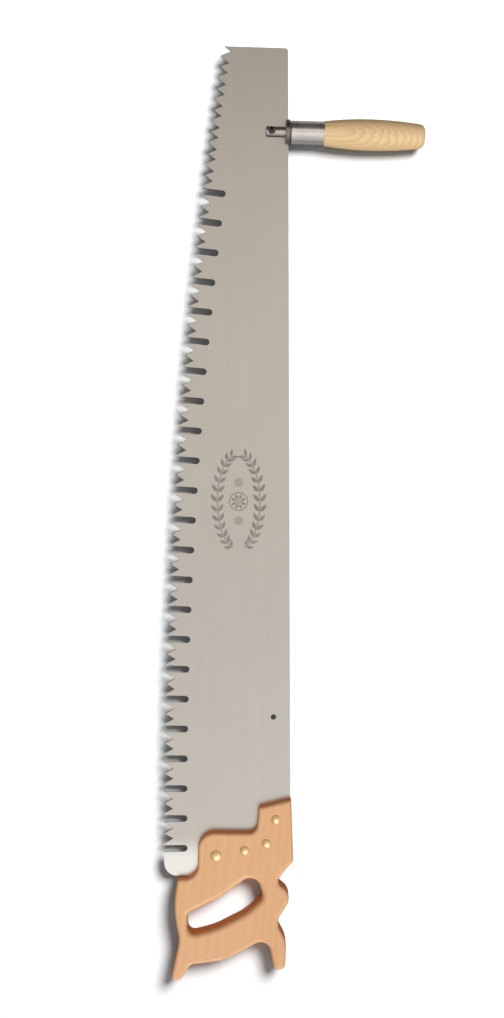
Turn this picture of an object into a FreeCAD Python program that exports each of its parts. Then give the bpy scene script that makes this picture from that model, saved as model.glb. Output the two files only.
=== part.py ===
import FreeCAD, Part
import math
import os
import Sketcher

# One-man crosscut saw, lying flat. Every piece is drawn in the saw's own layout: X across the blade
# from its straight back (teeth at minus X), Y along the blade from the heel, Z from the middle of the
# plate. The placement then moves that layout to the middle of the saw's box, on the surface it lies on.

SIZES = {
    # blade
    "blade_length": 914.6,
    "blade_thickness": 2.0,
    "heel_depth": 139.3,
    "breast_radius": 5534.8,
    "breast_height": 55.4,
    "heel_corner": 14.0,
    "toe_corner": 3.5,
    "toe_slope": 2.0,
    "seat_reach": 100.0,
    "seat_rise": 20.0,
    # teeth
    "gullet_pitch": 33.02,
    "gullet_width": 7.3,
    "gullet_depth": 25.8,
    "first_gullet": 30.0,
    "starter_stretch": 150.0,
    "notch_depth": 10.3,
    "notch_half": 5.95,
    "notch_one": 10.4,
    "notch_two": 22.6,
    "starter_gap": 11.96,
    "starter_pitch": 12.09,
    "file_slant": 30.0,
    "overrun": 2.0,
    # main handle
    "handle_thickness": 24.0,
    "cheek_round": 4.0,
    "grip_round": 6.0,
    "kerf_gap": 0.05,
    "kerf_overrun": 4.0,
    "kerf_height": 120.0,
    # saw screws and nuts
    "medallion_radius": 5.9,
    "head_radius": 4.8,
    "head_rim": 0.3,
    "head_crown": 2.0,
    "screw_recess": 1.2,
    "shank_radius": 2.4,
    "shank_set_back": 1.5,
    "neck_radius": 3.6,
    "nut_flange": 1.6,
    "nut_slot_width": 1.4,
    "nut_slot_depth": 1.0,
    "bore_clearance": 0.15,
    # holes for the supplementary handle
    "station_from_toe": 94.5,
    "pin_back": 18.2,
    "spare_height": 174.7,
    "pin_hole_radius": 3.0,
    "pin_clearance": 0.05,
    # supplementary handle
    "side_lean": 2.0,
    "fork_tip": 24.5,
    "fork_end": 10.0,
    "fork_radius": 6.0,
    "fork_clearance": 0.15,
    "fork_chamfer": 0.8,
    "slot_end": 0.5,
    "pin_seat": 5.2,
    "pin_head_radius": 3.9,
    "pin_head_rim": 0.5,
    "pin_head_crown": 1.7,
    "pin_tail": 0.4,
    "rod_radius": 4.0,
    "rod_set_back": 1.0,
    "thread_clearance": 0.05,
    "collar_lip": 3.0,
    "collar_face": 2.2,
    "collar_radius": 13.75,
    "collar_chamfer": 0.7,
    "collar_clearance": 0.08,
    "seat_gap": 0.6,
    "ferrule_length": 37.5,
    "ferrule_radius": 12.7,
    "ferrule_wall": 1.2,
    "ferrule_base": 1.5,
    "ferrule_edge": 1.4,
    "cavity_clearance": 0.6,
    "cavity_gap": 2.0,
    "grip_length": 110.7,
    "grip_neck": 13.25,
    "grip_belly": 16.6,
    "belly_station": 50.0,
    "grip_end": 12.3,
    "grip_end_round": 6.5,
    "recess_depth": 12.0,
    "nut_flats": 13.0,
    "nut_fit": 0.1,
    "nut_height": 6.5,
    "washer_radius": 6.4,
    "washer_height": 1.5,
}

# distance of each saw screw from the back and from the heel, and whether it is the large one
SCREWS = [
    {"back": 81.9, "height": 24.7, "head": "medallion_radius"},
    {"back": 50.6, "height": 30.4, "head": "head_radius"},
    {"back": 26.7, "height": 38.0, "head": "head_radius"},
    {"back": 16.3, "height": 64.2, "head": "head_radius"},
]

# corners of the handle's outline, anticlockwise from the top of the back, each with its round
HANDLE_OUTLINE = [
    (0.8, 86.0, 2.0),
    (-34.8, 77.4, 2.0),
    (-37.5, 49.2, 10),
    (-101.3, 50.2, 18),
    (-102, -0.6, 16),
    (-124.3, -0.9, 2.5),
    (-129.5, -32.4, 110),
    (-122.4, -67, 32),
    (-132.3, -111.9, 4.4),
    (-121.2, -111.9, 5),
    (-110, -95, 8),
    (-73.4, -90.7, 70),
    (-25.1, -65.1, 10.8),
    (-18.7, -101.2, 6.2),
    (-6.4, -100.8, 6.2),
    (-5.1, -69, 32),
    (-16.2, -48.6, 14),
    (3.7, -18.6, 16),
    (-16.4, -4.3, 6),
    (3.0, 18.0, 8),
]

HAND_HOLE = [
    (-113.4, -63.0, 8),
    (-83.5, -55.6, 90),
    (-49.0, -38.2, 60),
    (-30.4, -21.5, 8.5),
    (-36.0, -1.8, 10),
    (-48.6, -1.2, 9),
    (-76.2, -21.2, 60),
    (-113.2, -39.4, 7),
]

doc = FreeCAD.newDocument("CrosscutSaw")


def make_sheet():
    sheet = doc.addObject("Spreadsheet::Sheet", "Sizes")
    cells = dict(SIZES)
    for number, screw in enumerate(SCREWS, start=1):
        cells[f"screw_{number}_back"] = screw["back"]
        cells[f"screw_{number}_height"] = screw["height"]
    cells["horn_drop"] = 0 - min(y for _, y, _ in HANDLE_OUTLINE)
    for row, (name, value) in enumerate(cells.items(), start=1):
        sheet.set(f"A{row}", name)
        sheet.set(f"B{row}", str(value))
        sheet.setAlias(f"B{row}", name)
    doc.recompute()
    return sheet


sheet = make_sheet()


def terms(text):
    """Split a sum such as "0 - blade_thickness/2 + 3" into signed (sign, word, divisor) terms."""
    sign = 1
    for token in text.split():
        if token in "+-":
            sign = 1 if token == "+" else -1
            continue
        word, _, divisor = token.partition("/")
        yield sign, word, float(divisor or 1)


def is_name(word):
    return word[0].isalpha()


def amount(text):
    """Value of a sum of sheet names and numbers."""
    total = 0.0
    for sign, word, divisor in terms(text):
        value = float(sheet.get(word)) if is_name(word) else float(word)
        total += sign * value / divisor
    return total


def formula(text):
    """The same sum as an expression on the sheet."""
    pieces = []
    for sign, word, divisor in terms(text):
        cell = f"Sizes.{word}" if is_name(word) else word
        pieces.append(f"{'+' if sign > 0 else '-'} {cell} / {divisor:g}")
    return "0 " + " ".join(pieces)


def new_body(label, across="0", along="0"):
    """A body whose layout origin sits where the saw's layout puts it, moved on by across and along."""
    body = doc.addObject("PartDesign::Body", label)
    body.Label = label
    grip_tip = formula("heel_depth - collar_face - ferrule_length - grip_length")
    body.setExpression(".Placement.Base.x", f"({grip_tip}) / 2 + {formula(across)}")
    body.setExpression(".Placement.Base.y", f"(Sizes.horn_drop - Sizes.blade_length) / 2 + {formula(along)}")
    body.setExpression(".Placement.Base.z", "Sizes.grip_belly")
    return body


def plane(body, role):
    return next(item for item in body.Origin.OriginFeatures if item.Role == role)


def attach(feature, body, role, lift=None):
    """Put a sketch or prism on one of the body's own planes, raised by the sheet sum lift."""
    feature.AttachmentSupport = [(plane(body, role), "")]
    feature.MapMode = "FlatFace"
    if lift:
        feature.setExpression(".AttachmentOffset.Base.z", formula(lift))


def new_sketch(body, name, role, lift=None):
    sketch = body.newObject("Sketcher::SketchObject", name)
    attach(sketch, body, role, lift)
    return sketch


def bind(sketch, kind, geometry, point, text):
    """Hold one coordinate of a point at a sum of sheet values."""
    index = sketch.addConstraint(Sketcher.Constraint(kind, -1, 1, geometry, point, amount(text)))
    sketch.setExpression(f"Constraints[{index}]", formula(text))


def arc_between(start, end, centre_x, clockwise):
    """The arc through two points whose centre has the given x."""
    rise = end.y - start.y
    reach = (end.x - centre_x) ** 2 - (start.x - centre_x) ** 2
    centre = FreeCAD.Vector(centre_x, (start.y + end.y) / 2 + reach / (2 * rise) if rise else 0, 0)
    first, last = (end, start) if clockwise else (start, end)
    circle = Part.Circle(centre, FreeCAD.Vector(0, 0, 1), (start - centre).Length)
    angles = [math.atan2(point.y - centre.y, point.x - centre.x) for point in (first, last)]
    return Part.ArcOfCircle(circle, angles[0], angles[1])


def profile(sketch, corners, arcs=None):
    """Closed outline of sheet-driven corners. arcs gives, for the side after a corner, the centre's x
    and whether the side runs clockwise; every other side is straight."""
    arcs = arcs or {}
    points = [FreeCAD.Vector(amount(x), amount(y), 0) for x, y in corners]
    sides = []
    for index, start in enumerate(points):
        end = points[(index + 1) % len(points)]
        centre_x, clockwise = arcs.get(index, (None, False))
        if centre_x is None:
            sketch.addGeometry(Part.LineSegment(start, end))
        else:
            sketch.addGeometry(arc_between(start, end, amount(centre_x), clockwise))
        sides.append((2, 1) if clockwise else (1, 2))
    for index, (x, y) in enumerate(corners):
        before = index - 1 if index else len(corners) - 1
        joint = (before, sides[before][1], index, sides[index][0])
        sketch.addConstraint(Sketcher.Constraint("Coincident", *joint))
        bind(sketch, "DistanceX", index, sides[index][0], x)
        bind(sketch, "DistanceY", index, sides[index][0], y)
    for index, (centre_x, _) in arcs.items():
        bind(sketch, "DistanceX", index, 3, centre_x)


def circles(sketch, centres, radius):
    """Circles at sheet-driven centres with one sheet-driven radius."""
    for index, (x, y) in enumerate(centres):
        middle = FreeCAD.Vector(amount(x), amount(y), 0)
        sketch.addGeometry(Part.Circle(middle, FreeCAD.Vector(0, 0, 1), amount(radius)))
        bind(sketch, "DistanceX", index, 3, x)
        bind(sketch, "DistanceY", index, 3, y)
        round_size = sketch.addConstraint(Sketcher.Constraint("Radius", index, amount(radius)))
        sketch.setExpression(f"Constraints[{round_size}]", formula(radius))


def rounded_path(sketch, corners, closed=True):
    """Straight sides through the corners, each turned by an arc of its own radius."""
    points = [FreeCAD.Vector(x, y, 0) for x, y, _ in corners]
    count = len(points)
    ends = []
    arcs = []
    for index, (_, _, radius) in enumerate(corners):
        if radius == 0:
            ends.append((points[index], points[index]))
            arcs.append(None)
            continue
        back = (points[index - 1] - points[index]).normalize()
        ahead = (points[(index + 1) % count] - points[index]).normalize()
        half_angle = back.getAngle(ahead) / 2
        start = points[index] + back * (radius / math.tan(half_angle))
        end = points[index] + ahead * (radius / math.tan(half_angle))
        centre = points[index] + (back + ahead).normalize() * (radius / math.sin(half_angle))
        middle = centre + (points[index] - centre).normalize() * radius
        ends.append((start, end))
        arcs.append(Part.Arc(start, middle, end))
    for index in range(count):
        if arcs[index]:
            sketch.addGeometry(arcs[index])
        following = (index + 1) % count
        straight = (ends[following][0] - ends[index][1]).Length > 1e-6
        if straight and (closed or following):
            sketch.addGeometry(Part.LineSegment(ends[index][1], ends[following][0]))


def pad(body, sketch, name, length):
    feature = body.newObject("PartDesign::Pad", name)
    feature.Profile = sketch
    feature.SideType = "Symmetric"
    feature.setExpression("Length", formula(length))
    doc.recompute()
    return feature


def revolve(body, sketch, name, axis):
    feature = body.newObject("PartDesign::Revolution", name)
    feature.Profile = sketch
    feature.ReferenceAxis = (sketch, [axis])
    feature.Angle = 360
    doc.recompute()
    return feature


def must_cut(body, before, name):
    """Stop if a cut took nothing away."""
    if body.Shape.Volume > before - 1e-3:
        raise RuntimeError(f"{body.Label}: {name} cuts nothing")


def pocket(body, sketch, name, length=None, reverse=False):
    """Cut through the whole body both ways, or a sheet-driven length to one side of the sketch."""
    before = body.Shape.Volume
    feature = body.newObject("PartDesign::Pocket", name)
    feature.Profile = sketch
    if length:
        feature.Type = "Length"
        feature.Reversed = reverse
        feature.setExpression("Length", formula(length))
    else:
        feature.Type = "ThroughAll"
        feature.SideType = "Symmetric"
    doc.recompute()
    must_cut(body, before, name)
    return feature


def fillet(body, name, base, edges, radius):
    feature = body.newObject("PartDesign::Fillet", name)
    feature.Base = (base, edges)
    feature.setExpression("Radius", formula(radius))
    doc.recompute()
    return feature


def rim_edges(shape, height, outer):
    """Names of the outer or the inner edges of the two flat faces at plus and minus height."""
    wanted = []
    for face in shape.Faces:
        if abs(abs(face.CenterOfMass.z) - height) > 1e-4 or face.BoundBox.ZLength > 1e-4:
            continue
        for edge in face.Edges:
            on_outside = any(edge.isSame(other) for other in face.OuterWire.Edges)
            if on_outside == outer:
                wanted.append(edge)
    names = []
    for number, edge in enumerate(shape.Edges, start=1):
        if any(edge.isSame(other) for other in wanted):
            names.append(f"Edge{number}")
    return names


# ---- blade


def tooth_row(body, name, corners, first, pitch, count, arcs=None, slant=0):
    """Cut one shape again and again along the tooth arc, at right angles to it. The sketch sits on the
    arc's centre, turned to the first cut; slant tips the cut like a file held at an angle."""
    sketch = body.newObject("Sketcher::SketchObject", f"{name}_sketch")
    attach(sketch, body, "XY_Plane")
    about_z = FreeCAD.Rotation(FreeCAD.Vector(0, 0, 1), 1.0)  # any turn but none, so the angle keeps its axis
    sketch.AttachmentOffset = FreeCAD.Placement(FreeCAD.Vector(), about_z)
    sketch.setExpression(".AttachmentOffset.Base.x", formula("breast_radius - heel_depth"))
    sketch.setExpression(".AttachmentOffset.Base.y", formula("breast_height"))
    sketch.setExpression(".AttachmentOffset.Rotation.Angle", f"-({first}) / Sizes.breast_radius * 1 rad")
    profile(sketch, corners, arcs)
    doc.recompute()
    cut = pocket(body, sketch, f"{name}_cut")
    if slant:
        cut.UseCustomVector = True
        turn = sketch.getGlobalPlacement().Rotation
        cut.Direction = turn.multVec(FreeCAD.Vector(0, math.tan(math.radians(slant)), -1))
        doc.recompute()
    row = body.newObject("PartDesign::PolarPattern", name)
    row.Originals = [cut]
    row.Axis = (sketch, ["N_Axis"])
    row.Reversed = True
    row.setExpression("Occurrences", count)
    row.setExpression("Angle", f"(({count}) - 1) * ({pitch}) / Sizes.breast_radius * 1 rad")
    body.Tip = row
    doc.recompute()
    return row


def blade_outline(sketch):
    """The plate before its teeth: straight back, breasted tooth side, rounded heel and sloping toe."""
    radius = amount("breast_radius")
    centre = FreeCAD.Vector(amount("breast_radius - heel_depth"), amount("breast_height"), 0)
    toe_rise = amount("blade_length - breast_height")
    heel_drop = amount("breast_height - heel_corner")
    toe_x = centre.x - math.sqrt(radius**2 - toe_rise**2)
    heel_x = centre.x - math.sqrt(radius**2 - heel_drop**2)
    toe_fall = -toe_x * math.tan(math.radians(amount("toe_slope")))
    toe = FreeCAD.Vector(toe_x, amount("blade_length"), 0)
    heel = FreeCAD.Vector(heel_x, amount("heel_corner"), 0)
    corners = [
        (toe.x, toe.y, 0),
        (0, toe.y - toe_fall, amount("toe_corner")),
        (0, amount("seat_rise"), 0),
        (-amount("seat_reach"), 0, 0),
        (heel.x, 0, amount("heel_corner")),
        (heel.x, heel.y, 0),
    ]
    rounded_path(sketch, corners, closed=False)
    widest = centre - FreeCAD.Vector(radius, 0, 0)
    sketch.addGeometry(Part.Arc(heel, widest, toe))


def screw_centres():
    return [(f"0 - screw_{n}_back", f"screw_{n}_height") for n in range(1, len(SCREWS) + 1)]


def make_blade():
    body = new_body("blade")
    blank = new_sketch(body, "blank", "XY_Plane")
    blade_outline(blank)
    pad(body, blank, "plate", "blade_thickness")
    holes = new_sketch(body, "pin_holes", "XY_Plane")
    back = "0 - pin_back"
    circles(holes, [(back, "spare_height"), (back, "blade_length - station_from_toe")], "pin_hole_radius")
    pocket(body, holes, "pin_hole_cut")
    bolts = new_sketch(body, "screw_holes", "XY_Plane")
    circles(bolts, screw_centres(), "shank_radius + bore_clearance")
    pocket(body, bolts, "screw_hole_cut")

    tips = "0 - breast_radius"
    beyond = "0 - breast_radius - overrun"
    bottom = "gullet_depth - breast_radius - gullet_width/2"
    gullet = [
        (beyond, "0 - gullet_width/2"),
        (bottom, "0 - gullet_width/2"),
        (bottom, "gullet_width/2"),
        (beyond, "gullet_width/2"),
    ]
    notch = [
        (beyond, "0 - notch_half"),
        (tips, "0 - notch_half"),
        ("notch_depth - breast_radius", "0"),
        (tips, "notch_half"),
        (beyond, "notch_half"),
    ]
    toe_angle = "asin((Sizes.blade_length - Sizes.breast_height) / Sizes.breast_radius)"
    toe_arc = f"{toe_angle} / 1 rad * Sizes.breast_radius"
    first = "Sizes.first_gullet - Sizes.breast_height"
    pitch = "Sizes.gullet_pitch"
    gaps = f"floor(({toe_arc} - Sizes.starter_stretch - ({first})) / {pitch})"
    starters = f"({first}) + {gaps} * {pitch} + Sizes.starter_gap"
    starter_count = f"(floor(({toe_arc} - ({starters})) / Sizes.starter_pitch) + 1)"
    slant = amount("file_slant")
    tooth_row(body, "gullets", gullet, first, pitch, f"{gaps} + 1", arcs={1: (bottom, False)})
    tooth_row(body, "notches_one", notch, f"{first} + Sizes.notch_one", pitch, gaps, slant=slant)
    tooth_row(body, "notches_two", notch, f"{first} + Sizes.notch_two", pitch, gaps, slant=-slant)
    double = "Sizes.starter_pitch * 2"
    tooth_row(body, "starters_odd", notch, starters, double, f"ceil({starter_count} / 2)", slant=slant)
    following = f"{starters} + Sizes.starter_pitch"
    tooth_row(body, "starters_even", notch, following, double, f"floor({starter_count} / 2)", slant=-slant)
    return body


# ---- main handle


def make_main_handle():
    body = new_body("main_handle")
    half = amount("handle_thickness/2")
    outline = new_sketch(body, "outline", "XY_Plane")
    rounded_path(outline, HANDLE_OUTLINE)
    pad(body, outline, "board", "handle_thickness")
    hole = new_sketch(body, "hand_hole", "XY_Plane")
    rounded_path(hole, HAND_HOLE)
    opened = pocket(body, hole, "hand_hole_cut")
    cheeks = fillet(body, "cheek_rounding", opened, rim_edges(opened.Shape, half, True), "cheek_round")
    fillet(body, "grip_rounding", cheeks, rim_edges(cheeks.Shape, half, False), "grip_round")

    kerf = new_sketch(body, "kerf", "XY_Plane", lift="0 - blade_thickness/2 - kerf_gap")
    left = "0 - heel_depth - overrun"
    corners = [
        (left, "0 - kerf_gap"),
        ("0 - seat_reach", "0 - kerf_gap"),
        ("0", "seat_rise - kerf_gap"),
        ("kerf_overrun", "seat_rise - kerf_gap"),
        ("kerf_overrun", "kerf_height"),
        (left, "kerf_height"),
    ]
    profile(kerf, corners)
    pocket(body, kerf, "kerf_cut", length="blade_thickness + kerf_gap + kerf_gap", reverse=True)

    bolts = new_sketch(body, "screw_bores", "XY_Plane")
    circles(bolts, screw_centres(), "neck_radius + bore_clearance")
    pocket(body, bolts, "screw_bore_cut")
    for number, (screw, centre) in enumerate(zip(SCREWS, screw_centres()), start=1):
        seat = f"{screw['head']} + bore_clearance"
        upper = new_sketch(body, f"head_seat_{number}", "XY_Plane", lift="handle_thickness/2")
        circles(upper, [centre], seat)
        pocket(body, upper, f"head_seat_cut_{number}", length="screw_recess")
        lower = new_sketch(body, f"nut_seat_{number}", "XY_Plane", lift="0 - handle_thickness/2")
        circles(lower, [centre], seat)
        pocket(body, lower, f"nut_seat_cut_{number}", length="nut_flange", reverse=True)
    return body


# ---- saw screws, domed on the upper cheek, drawn tight by slotted nuts in the lower cheek


def make_saw_screw(number, screw):
    body = new_body(f"saw_screw_{number}", f"0 - screw_{number}_back", f"screw_{number}_height")
    half_section = new_sketch(body, "half_section", "XZ_Plane")
    seat = "handle_thickness/2 - screw_recess"
    rim = "handle_thickness/2 + head_rim"
    corners = [
        ("0", "shank_set_back - handle_thickness/2"),
        ("shank_radius", "shank_set_back - handle_thickness/2"),
        ("shank_radius", "blade_thickness/2"),
        ("neck_radius", "blade_thickness/2"),
        ("neck_radius", seat),
        (screw["head"], seat),
        (screw["head"], rim),
        ("0", "handle_thickness/2 + head_crown"),
    ]
    profile(half_section, corners, arcs={6: ("0", False)})
    revolve(body, half_section, "turned_screw", "V_Axis")
    return body


def make_saw_nut(number, screw):
    body = new_body(f"saw_nut_{number}", f"0 - screw_{number}_back", f"screw_{number}_height")
    half_section = new_sketch(body, "half_section", "XZ_Plane")
    shoulder = "nut_flange - handle_thickness/2"
    corners = [
        ("shank_radius", "0 - blade_thickness/2"),
        ("neck_radius", "0 - blade_thickness/2"),
        ("neck_radius", shoulder),
        (screw["head"], shoulder),
        (screw["head"], "0 - handle_thickness/2"),
        ("shank_radius", "0 - handle_thickness/2"),
    ]
    profile(half_section, corners)
    revolve(body, half_section, "turned_nut", "V_Axis")
    slot = new_sketch(body, "driver_slot", "XY_Plane", lift="0 - handle_thickness/2")
    left = f"0 - {screw['head']} - overrun"
    right = f"{screw['head']} + overrun"
    bar = [
        (left, "0 - nut_slot_width/2"),
        (right, "0 - nut_slot_width/2"),
        (right, "nut_slot_width/2"),
        (left, "nut_slot_width/2"),
    ]
    profile(slot, bar)
    pocket(body, slot, "driver_slot_cut", length="nut_slot_depth", reverse=True)
    return body


# ---- supplementary handle, standing out from the back near the toe


AXIS_HEIGHT = "blade_length - station_from_toe"
GRIP_START = "collar_face + ferrule_length"
GRIP_TIP = f"{GRIP_START} + grip_length"


def side_body(label):
    """A body of the supplementary handle, whose axis is the body's own X. The axis leans towards the
    main handle, about the cross pin, as far as the play in the fork lets it."""
    body = new_body(label, along=AXIS_HEIGHT)
    lean = "Sizes.side_lean * 1 deg"
    about_z = FreeCAD.Rotation(FreeCAD.Vector(0, 0, 1), 1.0)
    body.Placement = FreeCAD.Placement(body.Placement.Base, about_z)
    square_x, square_y = (dict(body.ExpressionEngine)[f".Placement.Base.{axis}"] for axis in "xy")
    body.setExpression(".Placement.Base.x", f"{square_x} - Sizes.pin_back * (1 - cos({lean}))")
    body.setExpression(".Placement.Base.y", f"{square_y} - Sizes.pin_back * sin({lean})")
    body.setExpression(".Placement.Rotation.Angle", f"0 deg - {lean}")
    return body


def turned(label, corners, arcs=None):
    """A piece turned about the supplementary handle's axis."""
    body = side_body(label)
    half_section = new_sketch(body, "half_section", "XY_Plane")
    profile(half_section, corners, arcs)
    revolve(body, half_section, "turning", "H_Axis")
    return body


def side_slot(body, name, start, end, clearance):
    """Cut a slot for the plate, from start to end along X and right across the body."""
    sketch = new_sketch(body, name, "XZ_Plane")
    top = f"blade_thickness/2 + {clearance}"
    bottom = f"0 - blade_thickness/2 - {clearance}"
    profile(sketch, [(start, bottom), (end, bottom), (end, top), (start, top)])
    pocket(body, sketch, f"{name}_cut")


def make_clevis_bolt():
    rod_end = f"{GRIP_TIP} - rod_set_back"
    corners = [
        ("0 - fork_tip", "0"),
        ("0 - fork_tip", "fork_radius - fork_chamfer"),
        ("fork_chamfer - fork_tip", "fork_radius"),
        ("fork_end", "fork_radius"),
        ("fork_end", "rod_radius"),
        (rod_end, "rod_radius"),
        (rod_end, "0"),
    ]
    body = turned("clevis_bolt", corners)
    side_slot(body, "plate_slot", "0 - fork_tip - overrun", "slot_end", "fork_clearance")
    pin_hole = new_sketch(body, "pin_hole", "XY_Plane")
    circles(pin_hole, [("0 - pin_back", "0")], "pin_hole_radius")
    pocket(body, pin_hole, "pin_hole_cut")
    flat = new_sketch(body, "pin_seat", "XY_Plane", lift="pin_seat")
    circles(flat, [("0 - pin_back", "0")], "pin_head_radius + bore_clearance")
    pocket(body, flat, "pin_seat_cut", length="fork_radius", reverse=True)
    return body


def make_cross_pin():
    body = new_body("cross_pin", "0 - pin_back", AXIS_HEIGHT)
    half_section = new_sketch(body, "half_section", "XZ_Plane")
    shank = "pin_hole_radius - pin_clearance"
    corners = [
        ("0", "0 - fork_radius - pin_tail"),
        (shank, "0 - fork_radius - pin_tail"),
        (shank, "pin_seat"),
        ("pin_head_radius", "pin_seat"),
        ("pin_head_radius", "pin_seat + pin_head_rim"),
        ("0", "pin_seat + pin_head_crown"),
    ]
    profile(half_section, corners, arcs={4: ("0", False)})
    revolve(body, half_section, "turned_pin", "V_Axis")
    return body


def make_seat_collar():
    bore = "fork_radius + collar_clearance"
    corners = [
        ("0 - collar_lip", bore),
        ("0 - collar_lip", "collar_radius - collar_chamfer"),
        ("collar_chamfer - collar_lip", "collar_radius"),
        ("collar_face - collar_chamfer", "collar_radius"),
        ("collar_face", "collar_radius - collar_chamfer"),
        ("collar_face", bore),
    ]
    body = turned("seat_collar", corners)
    side_slot(body, "lip_slot", "0 - collar_lip - overrun", "seat_gap", "fork_clearance")
    return body


def make_ferrule():
    inner = "ferrule_radius - ferrule_wall"
    bore = "fork_radius + cavity_clearance"
    floor = "collar_face + ferrule_base"
    corners = [
        ("collar_face", bore),
        ("collar_face", "ferrule_radius - ferrule_edge"),
        ("collar_face + ferrule_edge", "ferrule_radius"),
        (GRIP_START, "ferrule_radius"),
        (GRIP_START, inner),
        (floor, inner),
        (floor, bore),
    ]
    return turned("ferrule", corners)


def hexagon(body, kind, name, lift, flats, height):
    """A hexagonal prism along X, added to the body or taken from it."""
    prism = body.newObject(f"PartDesign::{kind}Prism", name)
    prism.Polygon = 6
    attach(prism, body, "YZ_Plane", lift)
    prism.setExpression("Circumradius", f"({formula(flats)}) / 2 / cos(30 deg)")
    prism.setExpression("Height", formula(height))
    doc.recompute()
    return prism


def make_grip():
    tenon = "ferrule_radius - ferrule_wall"
    cavity = "fork_radius + cavity_clearance"
    floor = "collar_face + ferrule_base"
    rod_bore = "rod_radius + thread_clearance + bore_clearance"
    corners = [
        (floor, cavity),
        (floor, tenon),
        (GRIP_START, tenon),
        (GRIP_START, "grip_neck"),
        (f"{GRIP_START} + belly_station", "grip_belly"),
        (GRIP_TIP, "grip_end"),
        (GRIP_TIP, rod_bore),
        ("fork_end + cavity_gap", rod_bore),
        ("fork_end + cavity_gap", cavity),
    ]
    belly = f"{GRIP_START} + belly_station"
    body = turned("grip", corners, arcs={3: (belly, True), 4: (belly, True)})
    turning = body.Tip
    tip = amount(GRIP_TIP)
    rims = [
        f"Edge{number}"
        for number, edge in enumerate(turning.Shape.Edges, start=1)
        if abs(edge.BoundBox.XMin - tip) < 1e-4
        and abs(edge.BoundBox.YMax - amount("grip_end")) < 1e-3
        and edge.BoundBox.XLength < 1e-4
    ]
    fillet(body, "end_rounding", turning, rims, "grip_end_round")
    before = body.Shape.Volume
    recess = hexagon(
        body,
        "Subtractive",
        "nut_recess",
        f"{GRIP_TIP} - recess_depth",
        "nut_flats + nut_fit + nut_fit",
        "recess_depth + overrun",
    )
    must_cut(body, before, recess.Name)
    return body


def make_end_washer():
    face = f"{GRIP_TIP} - recess_depth"
    bore = "rod_radius + thread_clearance + bore_clearance"
    corners = [
        (face, bore),
        (face, "washer_radius"),
        (f"{face} + washer_height", "washer_radius"),
        (f"{face} + washer_height", bore),
    ]
    return turned("end_washer", corners)


def make_end_nut():
    body = side_body("end_nut")
    face = f"{GRIP_TIP} - recess_depth + washer_height"
    hexagon(body, "Additive", "nut_blank", face, "nut_flats", "nut_height")
    bore = new_sketch(body, "threaded_bore", "YZ_Plane")
    circles(bore, [("0", "0")], "rod_radius + thread_clearance")
    pocket(body, bore, "threaded_bore_cut")
    return body


def make_saw():
    bodies = [make_blade(), make_main_handle()]
    for number, screw in enumerate(SCREWS, start=1):
        bodies.append(make_saw_screw(number, screw))
        bodies.append(make_saw_nut(number, screw))
    bodies += [
        make_clevis_bolt(),
        make_cross_pin(),
        make_seat_collar(),
        make_ferrule(),
        make_grip(),
        make_end_washer(),
        make_end_nut(),
    ]
    return bodies


def check(bodies):
    """Stop before anything is written if a feature failed or a shape is not one sound solid."""
    for item in doc.Objects:
        if "Invalid" in item.State or "Error" in item.State:
            raise RuntimeError(f"{item.Name} failed: {item.State}")
    for body in bodies:
        shape = body.Shape
        if shape.isNull() or not shape.isValid() or len(shape.Solids) != 1:
            raise RuntimeError(f"{body.Label} is not one valid solid")


bodies = make_saw()
doc.recompute()
check(bodies)
os.makedirs("parts", exist_ok=True)
for body in bodies:
    body.Shape.exportStep(f"parts/{body.Label}.step")
    print(f"{body.Label}: {body.Shape.Volume / 1000:.2f} cm3")
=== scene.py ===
import bpy
import bmesh
import math
from mathutils import Euler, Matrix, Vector


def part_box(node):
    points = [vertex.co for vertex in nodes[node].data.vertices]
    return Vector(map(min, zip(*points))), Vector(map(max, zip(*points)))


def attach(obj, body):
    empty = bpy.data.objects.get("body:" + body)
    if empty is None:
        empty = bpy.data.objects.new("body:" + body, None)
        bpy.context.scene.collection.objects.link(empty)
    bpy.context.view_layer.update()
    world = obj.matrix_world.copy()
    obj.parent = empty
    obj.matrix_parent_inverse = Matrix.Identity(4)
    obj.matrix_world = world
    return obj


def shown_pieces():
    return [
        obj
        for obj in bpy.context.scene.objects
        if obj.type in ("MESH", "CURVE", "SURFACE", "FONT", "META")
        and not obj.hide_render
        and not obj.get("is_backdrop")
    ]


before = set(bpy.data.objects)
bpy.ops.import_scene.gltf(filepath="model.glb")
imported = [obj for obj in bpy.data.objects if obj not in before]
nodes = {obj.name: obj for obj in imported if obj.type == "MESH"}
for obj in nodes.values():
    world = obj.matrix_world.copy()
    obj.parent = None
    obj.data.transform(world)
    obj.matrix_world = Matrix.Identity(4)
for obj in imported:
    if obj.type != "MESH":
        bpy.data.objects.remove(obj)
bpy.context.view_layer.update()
scene = bpy.context.scene
mm = 0.001


# where things are

bladeLow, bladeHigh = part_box("blade")


def middleOf(node):
    low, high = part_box(node)
    return (low + high) / 2


# node helpers

def newMaterial(name):
    material = bpy.data.materials.new(name)
    material.use_nodes = True
    tree = material.node_tree
    tree.nodes.clear()
    output = tree.nodes.new("ShaderNodeOutputMaterial")
    shader = tree.nodes.new("ShaderNodeBsdfPrincipled")
    tree.links.new(shader.outputs["BSDF"], output.inputs["Surface"])
    return material, tree, shader


def plug(tree, value, socket):
    # a socket is linked, anything else is set as its value
    if isinstance(value, bpy.types.NodeSocket):
        tree.links.new(value, socket)
    else:
        socket.default_value = value


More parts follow.
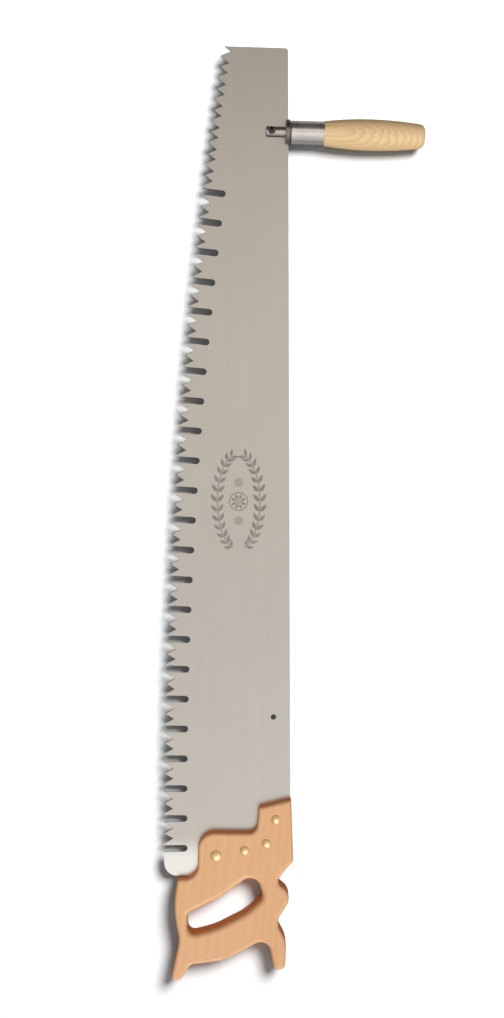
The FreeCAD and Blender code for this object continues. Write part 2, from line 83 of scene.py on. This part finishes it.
def place(tree, scale=(1, 1, 1), move=(0, 0, 0), turn=(0, 0, 0)):
    # position on the saw in metres, moved, turned and scaled for a texture
    where = tree.nodes.new("ShaderNodeTexCoord")
    mapping = tree.nodes.new("ShaderNodeMapping")
    mapping.vector_type = "POINT"
    mapping.inputs["Location"].default_value = move
    mapping.inputs["Rotation"].default_value = [math.radians(angle) for angle in turn]
    mapping.inputs["Scale"].default_value = scale
    tree.links.new(where.outputs["Object"], mapping.inputs["Vector"])
    return mapping.outputs["Vector"]


# most of a noise's values lie between these two
noiseLow, noiseHigh = 0.3, 0.7


def noise(tree, vector, scale, detail=3.0, rough=0.5):
    node = tree.nodes.new("ShaderNodeTexNoise")
    tree.links.new(vector, node.inputs["Vector"])
    node.inputs["Scale"].default_value = scale
    node.inputs["Detail"].default_value = detail
    node.inputs["Roughness"].default_value = rough
    return node.outputs["Fac"]


def sums(tree, kind, a, b=0.5, c=0.5):
    node = tree.nodes.new("ShaderNodeMath")
    node.operation = kind
    for value, socket in zip((a, b, c), node.inputs):
        plug(tree, value, socket)
    return node.outputs[0]


def spread(tree, value, low, high, outLow=0.0, outHigh=1.0):
    # stretches low..high to outLow..outHigh, held at both ends
    node = tree.nodes.new("ShaderNodeMapRange")
    plug(tree, value, node.inputs["Value"])
    for name, number in (("From Min", low), ("From Max", high), ("To Min", outLow), ("To Max", outHigh)):
        node.inputs[name].default_value = number
    return node.outputs["Result"]


def blendColours(tree, factor, first, second):
    node = tree.nodes.new("ShaderNodeMix")
    node.data_type = "RGBA"
    plug(tree, factor, node.inputs["Factor"])
    for value, socket in ((first, node.inputs[6]), (second, node.inputs[7])):
        plug(tree, value if isinstance(value, bpy.types.NodeSocket) else (*value, 1), socket)
    return node.outputs[2]


def bump(tree, shader, height, strength, distance):
    # relief with a strength from 0 to 1 and a depth in metres
    node = tree.nodes.new("ShaderNodeBump")
    tree.links.new(height, node.inputs["Height"])
    node.inputs["Strength"].default_value = strength
    node.inputs["Distance"].default_value = distance
    tree.links.new(node.outputs["Normal"], shader.inputs["Normal"])


def polish(shader, coat):
    # a thin coat of oil or wax, by the names of the shader's own sockets
    for name, amount in coat.items():
        shader.inputs[name].default_value = amount


def axes(tree, vector):
    node = tree.nodes.new("ShaderNodeSeparateXYZ")
    tree.links.new(vector, node.inputs[0])
    return node.outputs


# how far a face leans, as the part of its normal along Z or along Y
slopes = {"wall": 0.25, "flat": 0.8, "besideToe": 0.0, "towardToe": 0.5}


def sideways(tree):
    # 0 on flat tops and bottoms, 1 on upright walls; it masks the shade painted on walls
    geometry = tree.nodes.new("ShaderNodeNewGeometry")
    up = sums(tree, "ABSOLUTE", axes(tree, geometry.outputs["Normal"])[2])
    return spread(tree, up, slopes["wall"], slopes["flat"], 1.0, 0.0)


def towardToe(tree):
    # 1 on walls that look toward the toe, 0 on the others; it masks the deeper shade painted on those
    # walls
    geometry = tree.nodes.new("ShaderNodeNewGeometry")
    facing = axes(tree, geometry.outputs["Normal"])[1]
    return spread(tree, facing, slopes["besideToe"], slopes["towardToe"])


def dress(names, material):
    for name in names:
        slots = nodes[name].data.materials
        slots.clear()
        slots.append(material)


# plate steel: ground along the blade, with a painted highlight toward the heel, and dark on its edges as
# painted shade

plateLook = {
    "light": (0.645, 0.614, 0.568),
    "dark": (0.60, 0.567, 0.518),
    "heelHighlight": (0.94, 0.92, 0.88),
    "heelHighlightFrom": 42 * mm,
    "heelHighlightTo": 20 * mm,
    "wall": (0.13, 0.115, 0.10),
    "roughness": (0.34, 0.42),
    "wallRougher": 0.12,
    "lineWidth": 0.45 * mm,
    "lineLength": 90 * mm,
    "broader": (0.12, 0.25),  # the broad bands' scale beside the fine lines', across and along
    "cloud": 60 * mm,
    "mix": {"fine": 0.45, "broad": 0.30, "cloud": 0.35},
    "contrast": (0.38, 0.72),
    "scratch": (0.10, 0.05 * mm),
}


def grindLines(tree, look):
    # fine scratches, and the same again in broader bands
    width, length = look["lineWidth"], look["lineLength"]
    fine = noise(tree, place(tree, (1 / width, 1 / length, 1)), 1.0, 4, 0.65)
    across, along = look["broader"]
    broad = noise(tree, place(tree, (across / width, along / length, 1)), 1.0, 3, 0.5)
    return fine, broad


def plateSteel():
    look = plateLook
    material, tree, shader = newMaterial("plateSteel")
    fine, broad = grindLines(tree, look)
    cloud = noise(tree, place(tree), 1 / look["cloud"], 4, 0.55)
    mix = look["mix"]
    tone = sums(tree, "MULTIPLY_ADD", fine, mix["fine"], sums(tree, "MULTIPLY", broad, mix["broad"]))
    tone = sums(tree, "MULTIPLY_ADD", cloud, mix["cloud"], tone)
    colour = blendColours(tree, spread(tree, tone, *look["contrast"]), look["dark"], look["light"])
    # the heel is painted lighter: a painted highlight standing in for the light that falls there
    fromHeel = (bladeLow.y + look["heelHighlightFrom"], bladeLow.y + look["heelHighlightTo"])
    along = axes(tree, place(tree))[1]
    heelHighlightMask = sums(tree, "SUBTRACT", 1.0, spread(tree, along, fromHeel[1], fromHeel[0]))
    colour = blendColours(tree, heelHighlightMask, colour, look["heelHighlight"])
    # upright walls of the plate, its edges, teeth and gullets, are painted dark: painted shade
    wall = sideways(tree)
    plug(tree, blendColours(tree, wall, colour, look["wall"]), shader.inputs["Base Color"])
    shader.inputs["Metallic"].default_value = 1.0
    satin = spread(tree, fine, noiseLow, noiseHigh, *look["roughness"])
    plug(tree, sums(tree, "MULTIPLY_ADD", wall, look["wallRougher"], satin), shader.inputs["Roughness"])
    bump(tree, shader, fine, *look["scratch"])
    return material


# etched ornament steel

etchLook = {
    "base": (0.52, 0.49, 0.45),
    "dark": (0.37, 0.345, 0.31),
    "metallic": 0.85,
    "roughness": (0.5, 0.7),
    "speck": 0.9 * mm,
    "patchesPerMetre": 90,
    "mix": {"patch": 0.6, "speck": 0.5},
    "contrast": (0.35, 0.75),
    "grit": (0.25, 0.02 * mm),
}


def etchedSteel():
    look = etchLook
    material, tree, shader = newMaterial("etchedSteel")
    speck = noise(tree, place(tree), 1 / look["speck"], 3, 0.6)
    patch = noise(tree, place(tree), look["patchesPerMetre"], 2, 0.5)
    mix = look["mix"]
    tone = sums(tree, "MULTIPLY_ADD", patch, mix["patch"], sums(tree, "MULTIPLY", speck, mix["speck"]))
    colour = blendColours(tree, spread(tree, tone, *look["contrast"]), look["dark"], look["base"])
    plug(tree, colour, shader.inputs["Base Color"])
    shader.inputs["Metallic"].default_value = look["metallic"]
    rough = spread(tree, speck, noiseLow, noiseHigh, *look["roughness"])
    plug(tree, rough, shader.inputs["Roughness"])
    bump(tree, shader, speck, *look["grit"])
    return material


# turned steel: ferrule, collar, bolt, pin, nut and washer

steelLooks = {
    "brightSteel": {"light": (0.72, 0.685, 0.66), "dark": (0.64, 0.61, 0.585), "rough": 0.27, "axis": 0},
    "boltSteel": {"light": (0.60, 0.57, 0.54), "dark": (0.44, 0.41, 0.38), "rough": 0.22, "axis": 0,
                  "shadedFlank": (0.03, 0.025, 0.02)},
    # the collar is dark steel, its dark tone partly painted shade
    "collarSteel": {"light": (0.28, 0.26, 0.24), "dark": (0.18, 0.165, 0.15), "rough": 0.30, "axis": 0},
    "pinSteel": {"light": (0.10, 0.085, 0.075), "dark": (0.06, 0.05, 0.045), "rough": 0.14, "axis": 2},
}
turning = {
    "line": 1.2 * mm,
    "roundabout": 25.0,
    "smudgesPerMetre": 80,
    "mix": {"lines": 0.3, "smudge": 0.7},
    "contrast": (0.35, 0.65),
    "roughness": (-0.03, 0.05),
    "groove": (0.03, 0.02 * mm),
}


def turnedSteel(name):
    # lines run round the piece, so they change only along its axis
    look = steelLooks[name]
    material, tree, shader = newMaterial(name)
    scale = [turning["roundabout"]] * 3
    scale[look["axis"]] = 1 / turning["line"]
    lines = noise(tree, place(tree, scale), 1.0, 3, 0.6)
    smudge = noise(tree, place(tree), turning["smudgesPerMetre"], 3, 0.55)
    mix = turning["mix"]
    tone = sums(tree, "MULTIPLY_ADD", lines, mix["lines"], sums(tree, "MULTIPLY", smudge, mix["smudge"]))
    colour = blendColours(tree, spread(tree, tone, *turning["contrast"]), look["dark"], look["light"])
    # the bolt's upright flanks are painted near black: painted shade
    if "shadedFlank" in look:
        colour = blendColours(tree, sideways(tree), colour, look["shadedFlank"])
    plug(tree, colour, shader.inputs["Base Color"])
    shader.inputs["Metallic"].default_value = 1.0
    smoother, rougher = turning["roughness"]
    rough = spread(tree, tone, noiseLow, noiseHigh, look["rough"] + smoother, look["rough"] + rougher)
    plug(tree, rough, shader.inputs["Roughness"])
    bump(tree, shader, lines, *turning["groove"])
    return material


# brass: turned rings about each screw's own middle, with painted shade toward each head's rim

brassLook = {
    "bright": (0.60, 0.41, 0.215),
    "tarnishAndShade": (0.30, 0.175, 0.075),
    "roughness": (0.46, 0.58),
    "ring": 0.35 * mm,
    "groove": (0.05, 0.02 * mm),
    "hazePerMetre": 420,
    "hazeStain": 0.5,
    "edgeFrom": 3.6 * mm,
    "edgeTo": 6.2 * mm,
    "rimShade": 0.35,
}


def turnedBrass(name, centre):
    look = brassLook
    material, tree, shader = newMaterial(name)
    out = place(tree, (1, 1, 0), (-centre.x, -centre.y, 0))
    length = tree.nodes.new("ShaderNodeVectorMath")
    length.operation = "LENGTH"
    tree.links.new(out, length.inputs[0])
    turns = sums(tree, "MULTIPLY", length.outputs["Value"], 2 * math.pi / look["ring"])
    rings = sums(tree, "SINE", turns)
    haze = noise(tree, place(tree), look["hazePerMetre"], 4, 0.6)
    hazeStain = spread(tree, haze, 0.45, 0.75, 0.0, look["hazeStain"])
    # each head is painted darker toward its rim as painted shade; the haze is tarnish
    edge = spread(tree, length.outputs["Value"], look["edgeFrom"], look["edgeTo"])
    tarnishAndRimShade = sums(tree, "MULTIPLY_ADD", edge, look["rimShade"], hazeStain)
    plug(tree, blendColours(tree, tarnishAndRimShade, look["bright"], look["tarnishAndShade"]), shader.inputs["Base Color"])
    shader.inputs["Metallic"].default_value = 1.0
    rough = spread(tree, haze, noiseLow, noiseHigh, *look["roughness"])
    plug(tree, rough, shader.inputs["Roughness"])
    bump(tree, shader, rings, *look["groove"])
    return material


# beech: fine even wood with short ray flecks, and painted shade on its upright walls

beechLook = {
    "light": (0.785, 0.450, 0.240),
    "dark": (0.708, 0.382, 0.190),
    "fleck": (0.50, 0.235, 0.110),
    "wall": (0.64, 0.325, 0.150),
    "frontWallShade": (0.74, 0.235, 0.058),
    "grainTurn": 7,
    "ringWidth": 5.5 * mm,
    "ringWander": 9.0,
    "wander": (9, 2.5, 9),
    "streak": (700, 22, 700),
    "patch": (16, 7, 16),
    "mix": {"rings": 0.16, "streak": 0.45, "patch": 0.55},
    "contrast": (0.32, 0.82),
    "fleckWidth": 0.55 * mm,
    "fleckLength": 3.2 * mm,
    "fleckStrength": 0.42,
    "roughness": (0.42, 0.56),
    "oil": {"Coat Weight": 0.05, "Coat Roughness": 0.4, "Specular IOR Level": 0.18},
    "fleckDepth": -0.8,
    "grain": (0.10, 0.12 * mm),
}


def beech():
    look = beechLook
    material, tree, shader = newMaterial("oiledBeech")
    turn = (0, 0, look["grainTurn"])
    wander = noise(tree, place(tree, look["wander"], turn=turn), 1.0, 3, 0.5)
    across = axes(tree, place(tree, turn=turn))[0]
    rings = sums(tree, "DIVIDE", across, look["ringWidth"])
    rings = sums(tree, "MULTIPLY_ADD", wander, look["ringWander"], rings)
    rings = sums(tree, "PINGPONG", rings, 1.0)
    streak = noise(tree, place(tree, look["streak"], turn=turn), 1.0, 5, 0.6)
    patch = noise(tree, place(tree, look["patch"], turn=turn), 1.0, 4, 0.55)
    mix = look["mix"]
    tone = sums(tree, "MULTIPLY_ADD", rings, mix["rings"], sums(tree, "MULTIPLY", streak, mix["streak"]))
    tone = sums(tree, "MULTIPLY_ADD", patch, mix["patch"], tone)
    colour = blendColours(tree, spread(tree, tone, *look["contrast"]), look["light"], look["dark"])
    scale = (1 / look["fleckWidth"], 1 / look["fleckLength"], 1 / look["fleckWidth"])
    dashes = noise(tree, place(tree, scale, turn=turn), 1.0, 1, 0.4)
    fleck = spread(tree, dashes, 0.63, 0.72, 0.0, look["fleckStrength"])
    colour = blendColours(tree, fleck, colour, look["fleck"])
    # upright walls are painted darker and redder, most of all those facing the toe: painted shade
    wall = blendColours(tree, towardToe(tree), look["wall"], look["frontWallShade"])
    plug(tree, blendColours(tree, sideways(tree), colour, wall), shader.inputs["Base Color"])
    rough = spread(tree, streak, noiseLow, noiseHigh, *look["roughness"])
    plug(tree, rough, shader.inputs["Roughness"])
    polish(shader, look["oil"])
    height = sums(tree, "MULTIPLY_ADD", fleck, look["fleckDepth"], streak)
    bump(tree, shader, height, *look["grain"])
    return material


# ash: open rings cut lengthwise, so they arch over the top of the grip

ashLook = {
    "early": (0.63, 0.415, 0.205),
    "late": (0.73, 0.515, 0.280),
    "line": (0.52, 0.290, 0.120),
    "pithDrop": 24 * mm,
    "pithAside": -7 * mm,
    "pithTilt": 7.5,
    "ringWidth": 1.25 * mm,
    "ringWarp": 5.5 * mm,
    "warp": (14, 42, 42),
    "fibre": (24, 900, 900),
    "fibreStrength": 0.30,
    "pores": (240, 2600, 2600),
    "poreStrength": 0.55,
    "roughness": (0.50, 0.62),
    "wax": {"Coat Weight": 0.04, "Coat Roughness": 0.45, "Specular IOR Level": 0.25},
    "grain": (0.12, 0.12 * mm),
}


def ash():
    look = ashLook
    material, tree, shader = newMaterial("waxedAsh")
    centre = middleOf("grip")
    move = (-centre.x, -centre.y + look["pithAside"], -centre.z + look["pithDrop"])
    where = place(tree, (1, 1, 1), move, (0, look["pithTilt"], 0))
    warp = tree.nodes.new("ShaderNodeTexNoise")
    tree.links.new(place(tree, look["warp"]), warp.inputs["Vector"])
    warp.inputs["Scale"].default_value = 1.0
    warp.inputs["Detail"].default_value = 3
    shift = tree.nodes.new("ShaderNodeVectorMath")
    shift.operation = "MULTIPLY_ADD"
    tree.links.new(warp.outputs["Color"], shift.inputs[0])
    shift.inputs[1].default_value = (0, look["ringWarp"], look["ringWarp"])
    tree.links.new(where, shift.inputs[2])
    flat = tree.nodes.new("ShaderNodeVectorMath")
    flat.operation = "MULTIPLY"
    tree.links.new(shift.outputs[0], flat.inputs[0])
    flat.inputs[1].default_value = (0, 1, 1)
    radius = tree.nodes.new("ShaderNodeVectorMath")
    radius.operation = "LENGTH"
    tree.links.new(flat.outputs[0], radius.inputs[0])
    rings = sums(tree, "FRACT", sums(tree, "DIVIDE", radius.outputs["Value"], look["ringWidth"]))
    late = spread(tree, rings, 0.10, 0.75)
    fibre = noise(tree, place(tree, look["fibre"]), 1.0, 4, 0.6)
    pores = noise(tree, place(tree, look["pores"]), 1.0, 1, 0.4)
    colour = blendColours(tree, late, look["early"], look["late"])
    fibres = spread(tree, fibre, 0.35, 0.75, 0.0, look["fibreStrength"])
    colour = blendColours(tree, fibres, colour, look["early"])
    early = spread(tree, rings, 0.0, 0.3, 1.0, 0.1)
    openPores = spread(tree, pores, 0.58, 0.68, 0.0, look["poreStrength"])
    openPores = sums(tree, "MULTIPLY", openPores, early)
    plug(tree, blendColours(tree, openPores, colour, look["line"]), shader.inputs["Base Color"])
    rough = spread(tree, fibre, noiseLow, noiseHigh, *look["roughness"])
    plug(tree, rough, shader.inputs["Roughness"])
    polish(shader, look["wax"])
    height = sums(tree, "MULTIPLY_ADD", openPores, -1.0, fibre)
    bump(tree, shader, height, *look["grain"])
    return material


# the ornament etched on the plate: two leaf sprays and three rosettes, no lettering

ornament = {
    "along": 0.5 * (bladeLow.y + bladeHigh.y) - 45 * mm,
    "fromBack": 56 * mm,
    "halfWide": 23.5 * mm,
    "halfLong": 53 * mm,
    "bow": 74,
    "leaf": (10.6 * mm, 4.4 * mm),
    "leaves": 13,
    "leafReach": 0.95,
    "leafTilt": 38,
    "leafFromStem": 0.8,
    "tipShrink": 0.25,
    "stem": 1.1 * mm,
    "smallRosette": 0.5,
    "rosetteGap": 21 * mm,
    "raise": 0.03 * mm,
}
rosetteShape = {
    "outerRing": (9.4 * mm, 10.5 * mm),
    "innerRing": (1.4 * mm, 2.4 * mm),
    "petals": 8,
    "petalFrom": 2.9 * mm,
    "petal": (5.9 * mm, 3.0 * mm),
}


def prism(shape, outline, low, high):
    # closed flat-sided solid from an outline of (x, y) points
    lower = [shape.verts.new((x, y, low)) for x, y in outline]
    upper = [shape.verts.new((x, y, high)) for x, y in outline]
    shape.faces.new(list(reversed(lower)))
    shape.faces.new(upper)
    for i in range(len(outline)):
        j = (i + 1) % len(outline)
        shape.faces.new((lower[i], lower[j], upper[j], upper[i]))


def leafOutline(x, y, heading, length, width, steps=10, belly=0.8):
    # out along one edge and back along the other; belly under 1 sets the widest place nearer the stem
    points = []
    for i in range(steps):
        t = i / steps
        points.append((t * length, 0.5 * width * math.sin(math.pi * t ** belly)))
    for i in range(steps):
        t = 1 - i / steps
        points.append((t * length, -0.5 * width * math.sin(math.pi * t ** belly)))
    c, s = math.cos(heading), math.sin(heading)
    return [(x + px * c - py * s, y + px * s + py * c) for px, py in points]


def ringBand(shape, cx, cy, inner, outer, low, high, steps=48):
    rows = []
    for radius, z in ((inner, low), (outer, low), (outer, high), (inner, high)):
        rows.append([shape.verts.new((cx + radius * math.cos(a), cy + radius * math.sin(a), z))
                     for a in (2 * math.pi * i / steps for i in range(steps))])
    for i in range(steps):
        j = (i + 1) % steps
        for k in range(4):
            here, there = rows[k], rows[(k + 1) % 4]
            shape.faces.new((here[i], here[j], there[j], there[i]))


def sprayPoint(side, t, cx, cy, look):
    # a point and heading on one stem, which bows out to the given side; t runs from -1 to 1
    angle = t * math.radians(look["bow"])
    x = cx + side * look["halfWide"] * math.cos(angle)
    y = cy + look["halfLong"] * math.sin(angle)
    heading = math.atan2(look["halfLong"] * math.cos(angle), -side * look["halfWide"] * math.sin(angle))
    return x, y, heading


def stemBand(shape, side, cx, cy, look, low, high, steps=28):
    left, right = [], []
    for i in range(steps + 1):
        x, y, heading = sprayPoint(side, -1 + 2 * i / steps, cx, cy, look)
        nx, ny = -math.sin(heading) * look["stem"] / 2, math.cos(heading) * look["stem"] / 2
        left.append((x + nx, y + ny))
        right.append((x - nx, y - ny))
    prism(shape, right + list(reversed(left)), low, high)


def rosette(shape, cx, cy, size, low, high):
    # two rings with petals between them
    for ring in ("outerRing", "innerRing"):
        inner, outer = rosetteShape[ring]
        ringBand(shape, cx, cy, inner * size, outer * size, low, high)
    length, width = rosetteShape["petal"]
    start = rosetteShape["petalFrom"] * size
    apart = 360 / rosetteShape["petals"]
    for i in range(rosetteShape["petals"]):
        angle = math.radians(apart * (i + 0.5))
        x, y = cx + start * math.cos(angle), cy + start * math.sin(angle)
        prism(shape, leafOutline(x, y, angle, length * size, width * size), low, high)


def buildOrnament(material):
    look = ornament
    shape = bmesh.new()
    cx, cy = bladeHigh.x - look["fromBack"], look["along"]
    high = bladeHigh.z + look["raise"]
    low = bladeHigh.z - look["raise"]
    length, width = look["leaf"]
    for side in (-1, 1):
        stemBand(shape, side, cx, cy, look, low, high)
        for i in range(look["leaves"]):
            t = look["leafReach"] * (2 * i / (look["leaves"] - 1) - 1)
            x, y, heading = sprayPoint(side, t, cx, cy, look)
            for hand in (-1, 1):
                grown = 1.0 - look["tipShrink"] * abs(t)
                tilt = heading + hand * math.radians(look["leafTilt"])
                away = look["stem"] * look["leafFromStem"]
                px = x - math.sin(heading) * hand * away
                py = y + math.cos(heading) * hand * away
                prism(shape, leafOutline(px, py, tilt, length * grown, width * grown), low, high)
    rosette(shape, cx, cy, 1.0, low, high)
    for end in (-1, 1):
        rosette(shape, cx, cy + end * look["rosetteGap"], look["smallRosette"], low, high)
    bmesh.ops.recalc_face_normals(shape, faces=shape.faces)
    mesh = bpy.data.meshes.new("plateOrnament")
    shape.to_mesh(mesh)
    shape.free()
    piece = bpy.data.objects.new("plateOrnament", mesh)
    scene.collection.objects.link(piece)
    mesh.materials.append(material)
    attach(piece, "saw")


# camera, floor and light

# span is the length in metres that the picture takes in, roll is in degrees, sensor in millimetres
view = {
    "across": -46.8 * mm,
    "along": 2.7 * mm,
    "distance": 1.28,
    "span": 1.1236,
    "roll": -0.164,
    "sensor": 36,
    "farthest": 20,
}


def buildCamera():
    camera = bpy.data.objects.new("camera", bpy.data.cameras.new("camera"))
    scene.collection.objects.link(camera)
    middle = (bladeLow.z + bladeHigh.z) / 2
    camera.location = (view["across"], view["along"], middle + view["distance"])
    camera.rotation_euler = Euler((0, 0, math.radians(view["roll"])))
    camera.data.sensor_fit = "VERTICAL"
    camera.data.sensor_height = view["sensor"]
    camera.data.lens = view["sensor"] * view["distance"] / view["span"]
    camera.data.clip_end = view["farthest"]
    scene.camera = camera


floorLook = {
    "size": 9,
    "below": 0.3 * mm,
    "paper": (0.93, 0.93, 0.93),
    "bench": (0.16, 0.15, 0.14),
    "inSteel": 0.18,
    "glowFrom": 0.9,
    "glowTo": 3.2,
    "glow": 0.85,
}


def buildFloor():
    # white paper to look at; what falls back from it onto the saw is dim, as from a grey bench
    bpy.ops.mesh.primitive_plane_add(size=floorLook["size"], location=(0, 0, -floorLook["below"]))
    floor = bpy.context.object
    floor.name = "floor"
    material = bpy.data.materials.new("floorPaper")
    material.use_nodes = True
    tree = material.node_tree
    tree.nodes.clear()
    output = tree.nodes.new("ShaderNodeOutputMaterial")
    path = tree.nodes.new("ShaderNodeLightPath")
    choose = tree.nodes.new("ShaderNodeMixShader")
    inSteel = sums(tree, "MULTIPLY", path.outputs["Is Glossy Ray"], floorLook["inSteel"])
    seen = sums(tree, "ADD", inSteel, path.outputs["Is Camera Ray"])
    tree.links.new(seen, choose.inputs[0])
    faces = {}
    for name in ("bench", "paper"):
        faces[name] = tree.nodes.new("ShaderNodeBsdfDiffuse")
        faces[name].inputs["Color"].default_value = (*floorLook[name], 1)
    # far from the saw, where the lamp's light comes in low, a glow keeps the paper white
    away = tree.nodes.new("ShaderNodeVectorMath")
    away.operation = "LENGTH"
    tree.links.new(place(tree), away.inputs[0])
    far = tree.nodes.new("ShaderNodeEmission")
    reach = (floorLook["glowFrom"], floorLook["glowTo"])
    glow = spread(tree, away.outputs["Value"], *reach, 0.0, floorLook["glow"])
    tree.links.new(glow, far.inputs["Strength"])
    paper = tree.nodes.new("ShaderNodeAddShader")
    tree.links.new(faces["paper"].outputs[0], paper.inputs[0])
    tree.links.new(far.outputs[0], paper.inputs[1])
    tree.links.new(faces["bench"].outputs[0], choose.inputs[1])
    tree.links.new(paper.outputs[0], choose.inputs[2])
    tree.links.new(choose.outputs[0], output.inputs["Surface"])
    floor.data.materials.append(material)
    floor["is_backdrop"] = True
    return floor


def skyRamp(tree, value, stops):
    ramp = tree.nodes.new("ShaderNodeValToRGB")
    elements = ramp.color_ramp.elements
    while len(elements) > 1:
        elements.remove(elements[-1])
    for i, (position, colour) in enumerate(stops):
        element = elements[0] if i == 0 else elements.new(position)
        element.position = position
        element.color = (*colour, 1)
    tree.links.new(value, ramp.inputs[0])
    return ramp.outputs["Color"]


# the room as steel mirrors it, from beyond the handle (0) to beyond the toe (1), and the even fill
room = {
    "along": [
        (0.00, (0.62, 0.61, 0.59)),
        (0.12, (0.84, 0.83, 0.81)),
        (0.24, (1.06, 1.05, 1.03)),
        (0.33, (1.33, 1.32, 1.29)),
        (0.41, (0.83, 0.82, 0.80)),
        (0.52, (0.75, 0.725, 0.69)),
        (0.60, (1.29, 1.22, 1.12)),
        (0.655, (0.93, 0.86, 0.77)),
        (0.70, (0.36, 0.32, 0.28)),
        (0.77, (0.08, 0.07, 0.065)),
        (1.00, (0.06, 0.055, 0.05)),
    ],
    "across": (0.75, 1.25),
    "beside": (0.80, 0.78, 0.75),
    "besideAcross": (0.20, 0.42),
    "besideAlong": (0.20, 0.45),
    "backdrop": (0.93, 0.93, 0.93),
    "fill": (0.95, 0.97, 1.0),
    "fillStrength": 0.20,
}


def buildSky():
    world = bpy.data.worlds.new("studio")
    scene.world = world
    world.use_nodes = True
    tree = world.node_tree
    tree.nodes.clear()
    output = tree.nodes.new("ShaderNodeOutputWorld")
    where = tree.nodes.new("ShaderNodeTexCoord")
    parts = axes(tree, where.outputs["Generated"])
    walls = skyRamp(tree, spread(tree, parts[1], -1, 1), room["along"])
    # the dark end of the room is narrow, with pale walls beside it
    beside = spread(tree, sums(tree, "ABSOLUTE", parts[0]), *room["besideAcross"])
    beside = sums(tree, "MULTIPLY", beside, spread(tree, parts[1], *room["besideAlong"]))
    walls = blendColours(tree, beside, walls, room["beside"])
    shade = tree.nodes.new("ShaderNodeVectorMath")
    shade.operation = "SCALE"
    tree.links.new(walls, shade.inputs[0])
    tree.links.new(spread(tree, parts[0], -1, 1, *room["across"]), shade.inputs["Scale"])
    glossy = tree.nodes.new("ShaderNodeBackground")
    tree.links.new(shade.outputs[0], glossy.inputs["Color"])
    fill = tree.nodes.new("ShaderNodeBackground")
    fill.inputs["Color"].default_value = (*room["fill"], 1)
    fill.inputs["Strength"].default_value = room["fillStrength"]
    path = tree.nodes.new("ShaderNodeLightPath")
    choose = tree.nodes.new("ShaderNodeMixShader")
    tree.links.new(path.outputs["Is Glossy Ray"], choose.inputs[0])
    tree.links.new(fill.outputs[0], choose.inputs[1])
    tree.links.new(glossy.outputs[0], choose.inputs[2])
    backdrop = tree.nodes.new("ShaderNodeBackground")
    backdrop.inputs["Color"].default_value = (*room["backdrop"], 1)
    behind = tree.nodes.new("ShaderNodeMixShader")
    tree.links.new(path.outputs["Is Camera Ray"], behind.inputs[0])
    tree.links.new(choose.outputs[0], behind.inputs[1])
    tree.links.new(backdrop.outputs[0], behind.inputs[2])
    tree.links.new(behind.outputs[0], output.inputs["Surface"])


# the suns' "toward" points from the saw to the light; softness is in degrees, the lamp's size in metres
suns = {
    "keyLight": {
        "toward": (0.30, -0.95, 1.0),
        "strength": 3.05,
        "softness": 34,
        "tint": (0.99, 1.0, 1.01),
    },
    "backLight": {
        "toward": (-0.10, 0.90, 0.90),
        "strength": 0.52,
        "softness": 50,
        "tint": (1.0, 0.92, 0.84),
    },
}
shadowLamp = {"at": (0.88, 0.91, 1.765), "power": 54, "size": 0.52}
woodAndBrass = ("main_handle", "grip", "saw_screw", "saw_nut")


def group(name, members):
    made = bpy.data.collections.new(name)
    for member in members:
        made.objects.link(member)
    return made


def addLight(name, kind, power, colour, lit):
    lamp = bpy.data.lights.new(name, kind)
    lamp.energy = power
    lamp.color = colour
    piece = bpy.data.objects.new(name, lamp)
    scene.collection.objects.link(piece)
    piece.light_linking.receiver_collection = lit
    return piece


def buildLights(floor):
    # the suns leave out the bare steel, which mirrors the room
    lampLit = group("lampLit", [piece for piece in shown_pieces() if piece.name.startswith(woodAndBrass)])
    for name, look in suns.items():
        piece = addLight(name, "SUN", look["strength"], look["tint"], lampLit)
        piece.data.angle = math.radians(look["softness"])
        piece.rotation_euler = Vector(look["toward"]).to_track_quat("Z", "Y").to_euler()
    lamp = addLight("shadowLight", "POINT", shadowLamp["power"], (1, 1, 1), group("litFloor", [floor]))
    lamp.data.shadow_soft_size = shadowLamp["size"]
    lamp.location = shadowLamp["at"]
    # as strong at the handle as at the toe
    lamp.data.use_nodes = True
    tree = lamp.data.node_tree
    even = tree.nodes.new("ShaderNodeLightFalloff")
    even.inputs["Strength"].default_value = 1.0
    tree.links.new(even.outputs["Constant"], tree.nodes["Emission"].inputs["Strength"])


# put it together

dress(["blade"], plateSteel())
dress(["main_handle"], beech())
dress(["grip"], ash())
dress(["ferrule", "end_nut", "end_washer"], turnedSteel("brightSteel"))
dress(["clevis_bolt"], turnedSteel("boltSteel"))
dress(["seat_collar"], turnedSteel("collarSteel"))
dress(["cross_pin"], turnedSteel("pinSteel"))
for number in range(1, 5):
    brass = turnedBrass(f"screwBrass{number}", middleOf(f"saw_screw_{number}"))
    dress([f"saw_screw_{number}", f"saw_nut_{number}"], brass)
print("materials on the saw's own pieces")
buildOrnament(etchedSteel())
print("ornament etched on the plate")
buildCamera()
floor = buildFloor()
buildSky()
buildLights(floor)
scene.view_settings.view_transform = "Standard"
print("camera, floor and lights")
